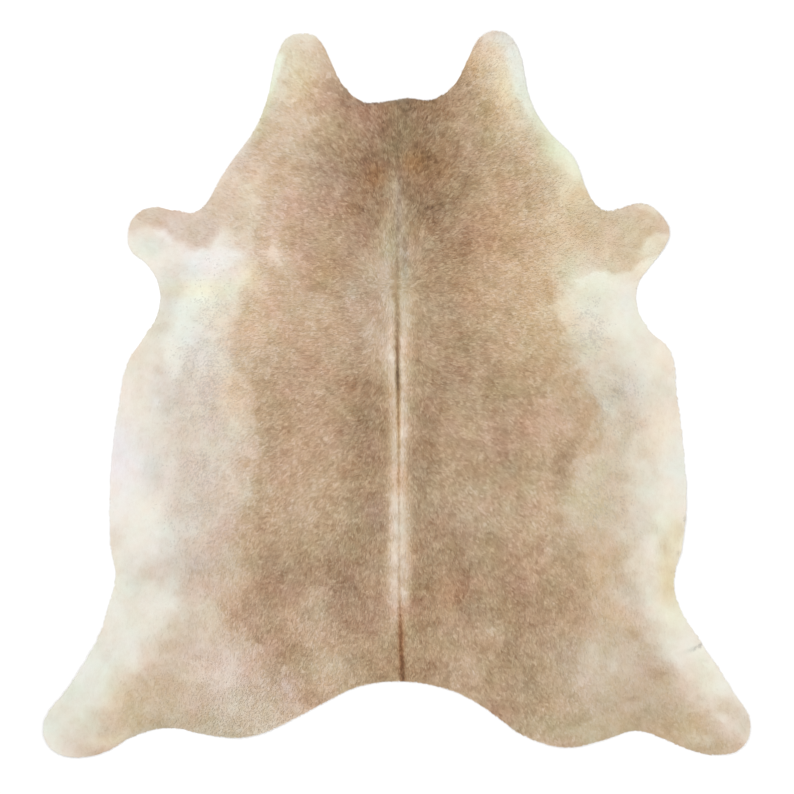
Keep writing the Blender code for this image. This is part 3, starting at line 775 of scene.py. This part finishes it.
class Wire:
    """A shader socket that can stand in a sum, where each operation adds a Math node."""

    def __init__(self, finish, socket):
        self.finish = finish
        self.socket = socket

    def math(self, operation, first, second):
        return self.finish.node("ShaderNodeMath", {"operation": operation}, {0: first, 1: second})[0]

    def __add__(self, other):
        return self.math("ADD", self, other)

    def __radd__(self, other):
        return self.math("ADD", other, self)

    def __mul__(self, other):
        return self.math("MULTIPLY", self, other)

    def __rmul__(self, other):
        return self.math("MULTIPLY", other, self)


class Made:
    """A node's outputs, by name or by number."""

    def __init__(self, finish, node):
        self.finish = finish
        self.made = node

    def __getitem__(self, output):
        return Wire(self.finish, self.made.outputs[output])


class Finish:
    """A material, with the one method that adds nodes to it."""

    def __init__(self, name, roughness, specular, sheen=0.0):
        self.material = bpy.data.materials.new(name)
        self.material.use_nodes = True
        self.tree = self.material.node_tree
        self.surface = self.tree.nodes["Principled BSDF"]
        self.surface.inputs["Roughness"].default_value = roughness
        self.surface.inputs["Specular IOR Level"].default_value = specular
        self.surface.inputs["Sheen Weight"].default_value = sheen

    def node(self, kind, settings=None, sockets=None):
        """Adds a node: its settings come first, then the values or links of its sockets."""
        node = self.tree.nodes.new(kind)
        for name, value in (settings or {}).items():
            setattr(node, name, value)
        for name, value in (sockets or {}).items():
            self.join(value, node.inputs[name])
        return Made(self, node)

    def join(self, value, socket):
        if isinstance(value, Wire):
            self.tree.links.new(value.socket, socket)
        else:
            socket.default_value = value

    def feed(self, socket, value):
        self.join(value, self.surface.inputs[socket])

    def place(self):
        """Where each point of the surface is on the rug."""
        return self.node("ShaderNodeTexCoord")["Object"]

    def coat(self):
        """The coat's colour, as laid on the mesh's points."""
        return self.node("ShaderNodeAttribute", {"attribute_name": "coat"})["Color"]

    def noise(self, vector, scale, detail):
        sockets = {"Vector": vector, "Scale": scale, "Detail": detail}
        return self.node("ShaderNodeTexNoise", None, sockets)["Fac"]

    def mix(self, share, first, second, blend="MIX"):
        """One colour laid over another."""
        settings = {"data_type": "RGBA", "blend_type": blend}
        return self.node("ShaderNodeMix", settings, {0: share, 6: first, 7: second})[2]

    def bump(self, height, strength, distance):
        sockets = {"Height": height, "Strength": strength, "Distance": distance}
        self.feed("Normal", self.node("ShaderNodeBump", None, sockets)["Normal"])


STUBBLE_SHADE = (0.55, 0.48, 0.42, 1)
CUT_LEATHER = (0.62, 0.54, 0.43, 1), (0.42, 0.34, 0.25, 1)
BUFFED_SUEDE = (0.60, 0.51, 0.40, 1), (0.47, 0.39, 0.30, 1)
SUEDE_NAP = (0.35, 0.28, 0.21, 1)


def hair_ground():
    """Under the hair: the coat's colour with painted shade over its roots, and fine stubble between the
    locks.
    """
    finish = Finish("hair ground", roughness=0.8, specular=0.2)
    stubble = finish.noise(finish.place(), scale=900, detail=3)
    shaded = finish.mix(0.4 * stubble, finish.coat(), STUBBLE_SHADE, "MULTIPLY")
    finish.feed("Base Color", shaded)
    finish.feed("Roughness", 0.7 + 0.2 * stubble)
    finish.bump(stubble, strength=0.5, distance=0.6 * MM)
    return finish.material


def cut_edge():
    """Raw leather where the knife went: pale fibres with darker ones between."""
    finish = Finish("cut edge", roughness=0.75, specular=0.3)
    fibre = finish.noise(finish.place(), scale=500, detail=4)
    finish.feed("Base Color", finish.mix(fibre, *CUT_LEATHER))
    finish.feed("Roughness", 0.65 + 0.25 * fibre)
    finish.bump(fibre, strength=0.6, distance=0.4 * MM)
    return finish.material


def flesh_side():
    """The suede underside: buffed in soft clouds, with a darker nap."""
    finish = Finish("flesh side", roughness=0.9, specular=0.15, sheen=0.15)
    place = finish.place()
    cloud = finish.noise(place, scale=9, detail=4)
    nap = finish.noise(place, scale=420, detail=3)
    buffed = finish.mix(cloud, *BUFFED_SUEDE)
    finish.feed("Base Color", finish.mix(0.35 * nap, buffed, SUEDE_NAP))
    finish.feed("Roughness", 0.8 + 0.15 * nap)
    finish.bump(nap + 0.6 * cloud, strength=0.6, distance=0.5 * MM)
    return finish.material


skin = bmesh.new()
skin.from_mesh(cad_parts["hide"].data)
bmesh.ops.remove_doubles(skin, verts=skin.verts[:], dist=MERGED)
skin.normal_update()
HAIR_SIDE, RIM, FLESH_SIDE = range(3)
for face in skin.faces:
    if face.normal.z > FACES_UP:
        face.material_index = HAIR_SIDE
    elif face.normal.z < -FACES_UP:
        face.material_index = FLESH_SIDE
    else:
        face.material_index = RIM
    face.smooth = face.material_index != RIM
# The leather ends a little inside the outline that the hair reaches.
for corner in skin.verts:
    outward = sum((face.normal for face in corner.link_faces if face.material_index == RIM), Vector())
    corner.co -= SET_IN * Vector((outward.x, outward.y, 0)).normalized()
top_edges = [
    edge for edge in skin.edges if any(face.material_index == HAIR_SIDE for face in edge.link_faces)
]
bmesh.ops.subdivide_edges(skin, edges=top_edges, cuts=SKIN_CUTS, use_grid_fill=True)
bmesh.ops.triangulate(skin, faces=skin.faces[:])
inner = [
    corner for corner in skin.verts if all(face.material_index == HAIR_SIDE for face in corner.link_faces)
]
x, y = np.array([corner.co[:2] for corner in inner]).T
raised = SKIN_UNEVEN * mottling(x, y, UNEVEN_LUMP, seed=71, octaves=2)
raised += SKIN_WRINKLE * even_noise(x, y, WRINKLE_LUMP, seed=75)
raised += crease(x, y, CREASE_RISE) * MM
for corner, rise in zip(inner, raised.tolist()):
    corner.co.z += rise
skin.normal_update()

skin_mesh = bpy.data.meshes.new("hide_skin")
skin.to_mesh(skin_mesh)
for material in (hair_ground(), cut_edge(), flesh_side()):
    skin_mesh.materials.append(material)
places = points_of(skin_mesh)
x, y = places[:, 0], places[:, 1]
ground_tone = coat_tone(x, y) + fold_tone(x, y)
# Painted shade in the ground's colour, with the creases' painted shade and light.
shade = (GROUND_SHADE + PALE_GROUND * paleness(ground_tone)) * (1 - crease(x, y, CREASE_SHADE))
colour_points(skin_mesh, shade[:, None] * hair_colour(x, y, ground_tone))
hide_skin = bpy.data.objects.new("hide_skin", skin_mesh)
bpy.context.scene.collection.objects.link(hide_skin)

# The coat: short straight hair, mostly 12 to 17 mm long, grown out of the skin and lying flat in small
# tufts. It runs from the back line outwards and up on the neck, outwards on the shoulders, then more and
# more towards the tail. Each lock is a flat blade of two faces that stands for many hairs.

# How far out the lay is given, in mm. Columns: place, y, hair length, and the angle from straight out, up
# towards the neck, at each of those distances.
LAY_OUT = [40, 120, 240, 430, 640, 850]
LAY = [
    ("lobe tips", 1060, 17, 60, 50, 40, 30, 20, 20),
    ("neck cut", 890, 17, 74, 42, 39, 34, 25, 20),
    ("neck", 790, 16, 78, 40, 34, 18, 15, 15),
    ("withers", 660, 16, 86, 44, 20, 22, 20, 15),
    ("forelegs", 500, 16, 86, 24, 7, 16, 21, 20),
    ("whorl", 370, 12, 84, 8, 3, 2, -5, -5),
    ("whorl's end", 290, 12, -80, 0, -4, -8, -20, -50),
    ("shoulder", 160, 14, -88, -7, -10, -18, -36, -80),
    ("ribs", 30, 14, -88, -15, -18, -25, -42, -82),
    ("back", -60, 14, -88, -30, -34, -42, -58, -82),
    ("loin", -225, 14, -88, -42, -40, -43, -55, -76),
    ("flank", -400, 14, -88, -74, -56, -49, -52, -72),
    ("rump", -560, 14, -88, -78, -62, -66, -76, -77),
    ("thigh", -780, 14, -88, -74, -67, -72, -76, -68),
    ("hind foot", -1060, 13, -88, -65, -55, -58, -66, -64),
]
LAY_LENGTH, FIRST_ANGLE = 2, 3
LAY_SEED = 11
LOCKS_PER_CM2 = 13.6
# The pieces on each side. Columns: name, from how far out, to how far out.
STRIPS = [("back_hair", 0, 265), ("side_hair", 265, 545), ("flank_hair", 545, 1200)]

# Tufts: their size, how far their borders wander, the turn of each, of its locks and of wide swirls in
# degrees, and how far the tips of a tuft's locks draw together.
TUFT = 7 * MM
TUFT_WANDER, TUFT_WANDER_LUMP = 0.8 * TUFT, 2.2 * TUFT
TUFTS_DRAWN = 509
TUFT_TURN = 9
LOCK_TURN = 8
SWIRL_TURN, SWIRL_LUMP = 10, 70 * MM
PINCH, MIDDLE_PINCH = 0.55, 0.11

# A lock's length as a share of the table's: its spread, its least and most, and the least left at the edge,
# past which the tips reach by OVERHANG.
LENGTH_SPREAD, LENGTH_RANGE = 0.16, (0.55, 1.5)
NEAR_EDGE = 30 * MM
SHORTEST_AT_EDGE = 0.25
OVERHANG = (1.8 * MM, 4.8 * MM)
EDGE_POINT_STEP = 4 * MM

# Its height in mm over the skin at its middle, with the spread from tuft to tuft and from lock to lock, how
# much lower its tip is, and where it starts and must end.
MIDDLE_AT = 0.45
RISE, TUFT_RISE, LOCK_RISE, RISE_RANGE = 1.5, 0.30, 0.20, (0.7, 3.0)
TIP_LOWER, TIP_SPREAD, TIP_RANGE = 0.4, 0.2, (0.5, 2.8)
PAST_EDGE_DROP = 0.9 * MM
ROOT_DEPTH = 0.4 * MM
LOWEST_HAIR = 0.4 * MM

# Its width, its roll in degrees, how much of its lean shows, and its root's and tip's share of the light:
# painted shade darkens the root's colour and painted light brightens the tip's.
LOCK_WIDTH = 2.3 * MM
WIDTH_SPREAD, WIDTH_RANGE = 0.2, (0.5, 1.6)
LOCK_ROLL = 10
LEAN_SHOWN = 0.35
ROOT_PAINTED_SHADE = 0.88
TIP_PAINTED_LIGHT = 1.03

# Cream hair lies wider, flatter and more even.
PALE_WIDER = 0.8
PALE_FLATTER = 0.35
PALE_LEAN = 0.6

# Spread of the tone from tuft to tuft and from lock to lock. In cream hair a tuft that stands out is
# darker. Columns: tone, tuft, lock.
FLECKS = [(0.0, 0.09, 0.035), (0.5, 0.08, 0.03), (0.8, 0.04, 0.02), (1.0, 0.01, 0.01)]
MOST_FLECK = 1.8
PALE_FLECK_SCALE = 1.4

# The coat is sleeker on the legs and belly: how far out it changes in mm, the share of its unevenness left,
# and how much of a lock's height and width doesn't change. Less shade lies between its locks there, so
# painted shade makes the hair's colour a little deeper, with this share of it left in cream hair.
SLEEK_FROM, SLEEK_TO, SLEEK_SHARE = 430, 640, 0.5
SLEEK_KEEPS = 0.4
SLEEK_PAINTED_SHADE = 0.12
PALE_PAINTED_SHADE_SHARE = 0.3

# Where grey hairs are mixed in. Columns: place, x, y, half length, half width, turn, share of the locks.
ROAN = [
    ("left ribs", -575, 50, 80, 240, 0, 0.32),
    ("left flank", -610, -330, 80, 170, 0, 0.18),
    ("right ribs", 590, 190, 50, 80, 0, 0.35),
    ("right flank", 670, -50, 70, 100, 0, 0.25),
    ("right lower flank", 640, -330, 70, 120, 0, 0.15),
]
ROAN_HAIR = (0.28, 0.26, 0.25)
ROAN_STRENGTH = 0.28
ROAN_LUMP, ROAN_LUMPY = 40 * MM, 2
ROAN_ABOVE = 0.6


def lay_angle(x, y):
    """Which way the hair lies, in radians from straight out, up towards the neck."""
    out = np.abs(x - back_line(y)) / MM
    columns = [along_hide(LAY, y, FIRST_ANGLE + k) for k in range(len(LAY_OUT))]
    angle = columns[0]
    for k in range(1, len(LAY_OUT)):
        share = np.clip((out - LAY_OUT[k - 1]) / (LAY_OUT[k] - LAY_OUT[k - 1]), 0, 1)
        angle = angle + (columns[k] - angle) * share
    return np.radians(angle)


def edge_points(mesh):
    """Points along the rug's edge, seen from above, and which way is out at each."""
    places = points_of(mesh)
    rims = {}
    top = {v for face in mesh.polygons if face.material_index == HAIR_SIDE for v in face.vertices}
    for face in mesh.polygons:
        if face.material_index == RIM:
            corners = [v for v in face.vertices if v in top]
            if len(corners) == 2:
                rims[tuple(corners)] = face.normal
    found, outward = [], []
    for (a, b), normal in rims.items():
        length = np.linalg.norm(places[a, :2] - places[b, :2])
        for share in np.arange(0, 1, min(EDGE_POINT_STEP / length, 1)):
            found.append(places[a] + (places[b] - places[a]) * share)
            outward.append(Vector((normal.x, normal.y)).normalized())
    return np.array(found), np.array(outward)


rng = np.random.default_rng(LAY_SEED)
(low_x, low_y, _), (high_x, high_y, _) = cad_box
spacing = 10 * MM / math.sqrt(LOCKS_PER_CM2)
grid_x, grid_y = np.meshgrid(np.arange(low_x, high_x, spacing), np.arange(low_y, high_y, spacing))
root_x = (grid_x + spacing * rng.uniform(-0.5, 0.5, grid_x.shape)).ravel()
root_y = (grid_y + spacing * rng.uniform(-0.5, 0.5, grid_y.shape)).ravel()

skin_top = BVHTree.FromBMesh(skin)
DOWN = Vector((0, 0, -1))


def heights(xs, ys):
    """The skin's height under each place, and NaN past its edge."""
    found = np.full(len(xs), np.nan)
    for index, (x, y) in enumerate(zip(xs.tolist(), ys.tolist())):
        hit = skin_top.ray_cast((x, y, 1), DOWN)[0]
        if hit is not None:
            found[index] = hit.z
    return found


root_z = heights(root_x, root_y)
grown = ~np.isnan(root_z)
root_x, root_y, root_z = root_x[grown], root_y[grown], root_z[grown]
count = len(root_x)

rim_places, rim_outward = edge_points(skin_mesh)
rim_tree = KDTree(len(rim_places))
for index, place in enumerate(rim_places):
    rim_tree.insert((place[0], place[1], 0), index)
rim_tree.balance()


def inside_edge(xs, ys):
    """How far inside the edge each place is, less than nothing past it."""
    found = np.empty(len(xs))
    for index, (x, y) in enumerate(zip(xs.tolist(), ys.tolist())):
        nearest, which, distance = rim_tree.find((x, y, 0))
        beyond = (x - nearest.x) * rim_outward[which][0] + (y - nearest.y) * rim_outward[which][1]
        found[index] = -distance if beyond > 0 else distance
    return found


def per_tuft(seed):
    """A random value for each tuft, read at each lock."""
    table = np.random.default_rng(seed).normal(size=(TUFTS_DRAWN, TUFTS_DRAWN))
    return table[tuft_i % TUFTS_DRAWN, tuft_j % TUFTS_DRAWN]


wander_x = TUFT_WANDER * even_noise(root_x, root_y, TUFT_WANDER_LUMP, seed=81)
wander_y = TUFT_WANDER * even_noise(root_x, root_y, TUFT_WANDER_LUMP, seed=82)
tuft_i = np.floor((root_x + wander_x) / TUFT).astype(int)
tuft_j = np.floor((root_y + wander_y) / TUFT).astype(int)

turn = np.radians(
    TUFT_TURN * per_tuft(seed=21)
    + LOCK_TURN * rng.normal(size=count)
    + SWIRL_TURN * mottling(root_x, root_y, SWIRL_LUMP, seed=91, octaves=2)
)
side = np.where(root_x < back_line(root_y), -1, 1)
angle = lay_angle(root_x, root_y)
heading = np.stack([side * np.cos(angle), np.sin(angle)], 1)
c, s = np.cos(turn), np.sin(turn)
heading = np.stack([heading[:, 0] * c - heading[:, 1] * s, heading[:, 0] * s + heading[:, 1] * c], 1)
across = np.stack([-heading[:, 1], heading[:, 0]], 1)

length = along_hide(LAY, root_y, LAY_LENGTH) * MM
length *= np.clip(1 + LENGTH_SPREAD * rng.normal(size=count), *LENGTH_RANGE)
near = np.flatnonzero(inside_edge(root_x, root_y) < NEAR_EDGE)
tip_x = root_x + heading[:, 0] * length
tip_y = root_y + heading[:, 1] * length
root_inside = inside_edge(root_x[near], root_y[near])
tip_inside = inside_edge(tip_x[near], tip_y[near])
allowed = rng.uniform(*OVERHANG, size=len(near))
over = tip_inside < -allowed
share = np.ones(len(near))
share[over] = (root_inside + allowed)[over] / (root_inside - tip_inside)[over]
length[near] *= np.clip(share, SHORTEST_AT_EDGE, 1)

centre_x = (tuft_i + 0.5) * TUFT - wander_x
centre_y = (tuft_j + 0.5) * TUFT - wander_y
aside = (root_x - centre_x) * across[:, 0] + (root_y - centre_y) * across[:, 1]
root = np.stack([root_x, root_y, np.maximum(root_z - ROOT_DEPTH, 0)], 1)
middle = np.stack([root_x, root_y, root_z], 1)
middle[:, :2] += heading * (MIDDLE_AT * length)[:, None] - across * (MIDDLE_PINCH * aside)[:, None]
tip = np.stack([root_x, root_y, root_z], 1)
tip[:, :2] += heading * length[:, None] - across * (PINCH * aside)[:, None]
tip_z = heights(tip[:, 0], tip[:, 1])
tone = coat_tone(middle[:, 0], middle[:, 1]) + fold_tone(middle[:, 0], middle[:, 1])
pale = paleness(tone)
ruffled = np.interp(np.abs(root_x) / MM, [SLEEK_FROM, SLEEK_TO], [1, SLEEK_SHARE])
lifted = SLEEK_KEEPS + (1 - SLEEK_KEEPS) * ruffled
rise = RISE + TUFT_RISE * per_tuft(seed=22) + LOCK_RISE * rng.normal(size=count)
rise = np.clip(rise * (1 - PALE_FLATTER * pale) * lifted, *RISE_RANGE)
middle[:, 2] += rise * MM
tip[:, 2] = np.where(np.isnan(tip_z), root_z - PAST_EDGE_DROP, tip_z)
tip[:, 2] += np.clip(rise - TIP_LOWER + TIP_SPREAD * rng.normal(size=count), *TIP_RANGE) * MM
tip[:, 2] = np.maximum(tip[:, 2], LOWEST_HAIR)
half = LOCK_WIDTH / 2 * np.clip(1 + WIDTH_SPREAD * rng.normal(size=count), *WIDTH_RANGE)
half *= (1 + PALE_WIDER * pale) / lifted
roll = np.radians(LOCK_ROLL) * rng.normal(size=count) * (1 - PALE_LEAN * pale)
spread = np.column_stack([across * (half * np.cos(roll))[:, None], half * np.sin(roll)])
lean = np.cross(spread, root - tip)
lean *= np.sign(lean[:, 2:]) / np.linalg.norm(lean, axis=1, keepdims=True)
lean_shown = LEAN_SHOWN * (ruffled * (1 - PALE_LEAN * pale))[:, None]
shine = lean_shown * lean + (1 - lean_shown) * np.array([0, 0, 1])
shine /= np.linalg.norm(shine, axis=1, keepdims=True)

tuft_fleck = ruffled * read_off(FLECKS, tone, 0, 1)
lock_fleck = ruffled * read_off(FLECKS, tone, 0, 2)
tuft = np.clip(per_tuft(seed=23), -MOST_FLECK, MOST_FLECK)
tone += tuft_fleck * (tuft + pale * ((1 - tuft**2) / PALE_FLECK_SCALE - tuft))
tone += lock_fleck * np.clip(rng.normal(size=count), -MOST_FLECK, MOST_FLECK)
colour = hair_colour(middle[:, 0], middle[:, 1], tone)
# Painted shade in the creases, nicks and the cuts' rims, and painted light on a ridge.
colour *= 1 - crease(middle[:, 0], middle[:, 1], CREASE_SHADE)[:, None]
# Painted shade for the shade that the sleek hair's flat locks don't cast.
colour *= 1 - (SLEEK_PAINTED_SHADE * (1 - ruffled) * (1 - (1 - PALE_PAINTED_SHADE_SHARE) * pale))[:, None]
roan = sum(locks * spot(middle[:, 0], middle[:, 1], patch) for *patch, locks in ROAN)
roan_lumps = mottling(middle[:, 0], middle[:, 1], ROAN_LUMP, seed=121, octaves=3)
roan *= np.clip(1 + ROAN_LUMPY * roan_lumps, 0, 2) * (tone > ROAN_ABOVE)
dark = rng.uniform(size=count) < roan
colour[dark] += (np.array(ROAN_HAIR) - colour[dark]) * ROAN_STRENGTH


def hair_mesh(name, chosen):
    """Joins the chosen locks into one mesh: each is a root, two sides and a tip, in two faces."""
    locks = len(chosen)
    corners = np.stack(
        [root[chosen], middle[chosen] - spread[chosen], middle[chosen] + spread[chosen], tip[chosen]], 1
    )
    corners[:, :, 2] = np.maximum(corners[:, :, 2], 0)
    faces = np.arange(locks)[:, None, None] * 4 + np.array([[0, 1, 2], [1, 3, 2]])
    mesh = bpy.data.meshes.new(name)
    mesh.vertices.add(locks * 4)
    mesh.vertices.foreach_set("co", corners.astype(np.float32).ravel())
    mesh.loops.add(locks * 6)
    mesh.loops.foreach_set("vertex_index", faces.astype(np.int32).ravel())
    mesh.polygons.add(locks * 2)
    mesh.polygons.foreach_set("loop_start", np.arange(0, locks * 6, 3, dtype=np.int32))
    mesh.update(calc_edges=True)
    mesh.shade_smooth()
    mesh.normals_split_custom_set_from_vertices(np.repeat(shine[chosen], 4, axis=0).tolist())
    # Painted shade at each lock's root and painted light at its tip, less of both in cream hair.
    shades = 1 + np.array([ROOT_PAINTED_SHADE - 1, 0, 0, TIP_PAINTED_LIGHT - 1]) * (1 - pale[chosen])[:, None]
    colour_points(mesh, (colour[chosen][:, None, :] * shades[:, :, None]).reshape(-1, 3))
    lay_out_maps(mesh, chosen)
    return mesh


# On the map of cells, where a lock's root, sides and tip are in its cell. On the map of strands, how far
# apart locks start, and after how many the places repeat.
CELL_SHAPE = [(0.5, 0.04), (0.96, 0.5), (0.04, 0.5), (0.5, 0.96)]
STRAND_STEP = 7 * MM
STRAND_REPEAT = 997


def lay_out_maps(mesh, chosen):
    """Two maps: each lock in a cell of its own beside its neighbours, and a strand map in true sizes."""
    locks = len(chosen)
    columns = math.ceil(math.sqrt(locks))
    by_x = np.argsort(root_x[chosen], kind="stable")
    column = np.empty(locks, int)
    column[by_x] = np.arange(locks) // columns
    by_column = np.lexsort((root_y[chosen], column))
    row = np.empty(locks, int)
    row[by_column] = np.arange(locks) - np.searchsorted(column[by_column], column[by_column])
    cells = (np.stack([column, row], 1)[:, None, :] + np.array(CELL_SHAPE)) / columns
    sideways = np.array([0, 1, -1, 0]) * half[chosen][:, None]
    lengthways = np.array([0, MIDDLE_AT, MIDDLE_AT, 1]) * length[chosen][:, None]
    strand = np.stack([sideways, lengthways], -1)
    strand[..., 0] += (np.arange(locks) % STRAND_REPEAT)[:, None] * STRAND_STEP
    order = np.array([0, 1, 2, 1, 3, 2])
    for name, places in (("OFBake", cells), ("strand", strand)):
        layer = mesh.uv_layers.new(name=name)
        layer.uv.foreach_set("vector", places[:, order].astype(np.float32).ravel())


STRAND_STRETCH = 0.06
HAIR_SHADE = (0.50, 0.46, 0.42, 1)


def short_hair():
    """Hair with a soft shine: the coat's colour, with fine strands along each lock."""
    finish = Finish("short hair", roughness=0.6, specular=0.15)
    strand = finish.node("ShaderNodeUVMap", {"uv_map": "strand"})["UV"]
    drawn_out = {"Vector": strand, "Scale": (1, STRAND_STRETCH, 1)}
    hairs = finish.noise(finish.node("ShaderNodeMapping", None, drawn_out)["Vector"], scale=3500, detail=2)
    finish.feed("Base Color", finish.mix(0.28 * hairs, finish.coat(), HAIR_SHADE, "MULTIPLY"))
    finish.feed("Roughness", 0.5 + 0.2 * hairs)
    finish.bump(hairs, strength=0.35, distance=0.2 * MM)
    return finish.material


hair_finish = short_hair()
coat_pieces = []
out = np.abs(root_x) / MM
for strip, from_out, to_out in STRIPS:
    for name, here in (("left", root_x < 0), ("right", root_x >= 0)):
        chosen = np.flatnonzero(here & (out >= from_out) & (out < to_out))
        piece = bpy.data.objects.new(f"{strip}_{name}", hair_mesh(f"{strip}_{name}", chosen))
        bpy.context.scene.collection.objects.link(piece)
        piece.data.materials.append(hair_finish)
        coat_pieces.append(piece)

for piece in [hide_skin, *coat_pieces]:
    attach(piece, "root")
    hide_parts("hide")
skin.free()

# The floor: a wide, plain, nearly white sweep, as a studio has. The rug lies straight on it, with nothing
# else on it or under it.
FLOOR_SIZE = 60
FLOOR_COLOUR = (0.9, 0.9, 0.9, 1)
floor_mesh = bpy.data.meshes.new("floor")
floor_shape = bmesh.new()
bmesh.ops.create_grid(floor_shape, x_segments=1, y_segments=1, size=FLOOR_SIZE / 2)
floor_shape.to_mesh(floor_mesh)
floor_shape.free()
floor = bpy.data.objects.new("floor", floor_mesh)
bpy.context.scene.collection.objects.link(floor)
sweep = Finish("studio floor", roughness=0.9, specular=0.1)
sweep.feed("Base Color", FLOOR_COLOUR)
floor_mesh.materials.append(sweep.material)

# The light: an even white surround, with one large soft lamp at the neck's left and a weaker one opposite.
# Columns: name, place in metres, size, power in watts.
SURROUND = 0.95
LAMPS = [("key lamp", (-2.6, 2.2, 3.4), 3.0, 70), ("fill lamp", (3.0, -2.0, 3.2), 3.0, 35)]
world = bpy.data.worlds.new("surround")
world.use_nodes = True
world.node_tree.nodes["Background"].inputs["Color"].default_value = (1, 1, 1, 1)
world.node_tree.nodes["Background"].inputs["Strength"].default_value = SURROUND
bpy.context.scene.world = world
for name, place, size, power in LAMPS:
    light = bpy.data.lights.new(name, "AREA")
    light.shape = "DISK"
    light.size = size
    light.energy = power
    lamp = bpy.data.objects.new(name, light)
    lamp.location = place
    lamp.rotation_mode = "QUATERNION"
    lamp.rotation_quaternion = Vector(place).to_track_quat("Z", "Y")
    lamp.visible_camera = False
    bpy.context.scene.collection.objects.link(lamp)
bpy.context.scene.view_settings.view_transform = "Standard"
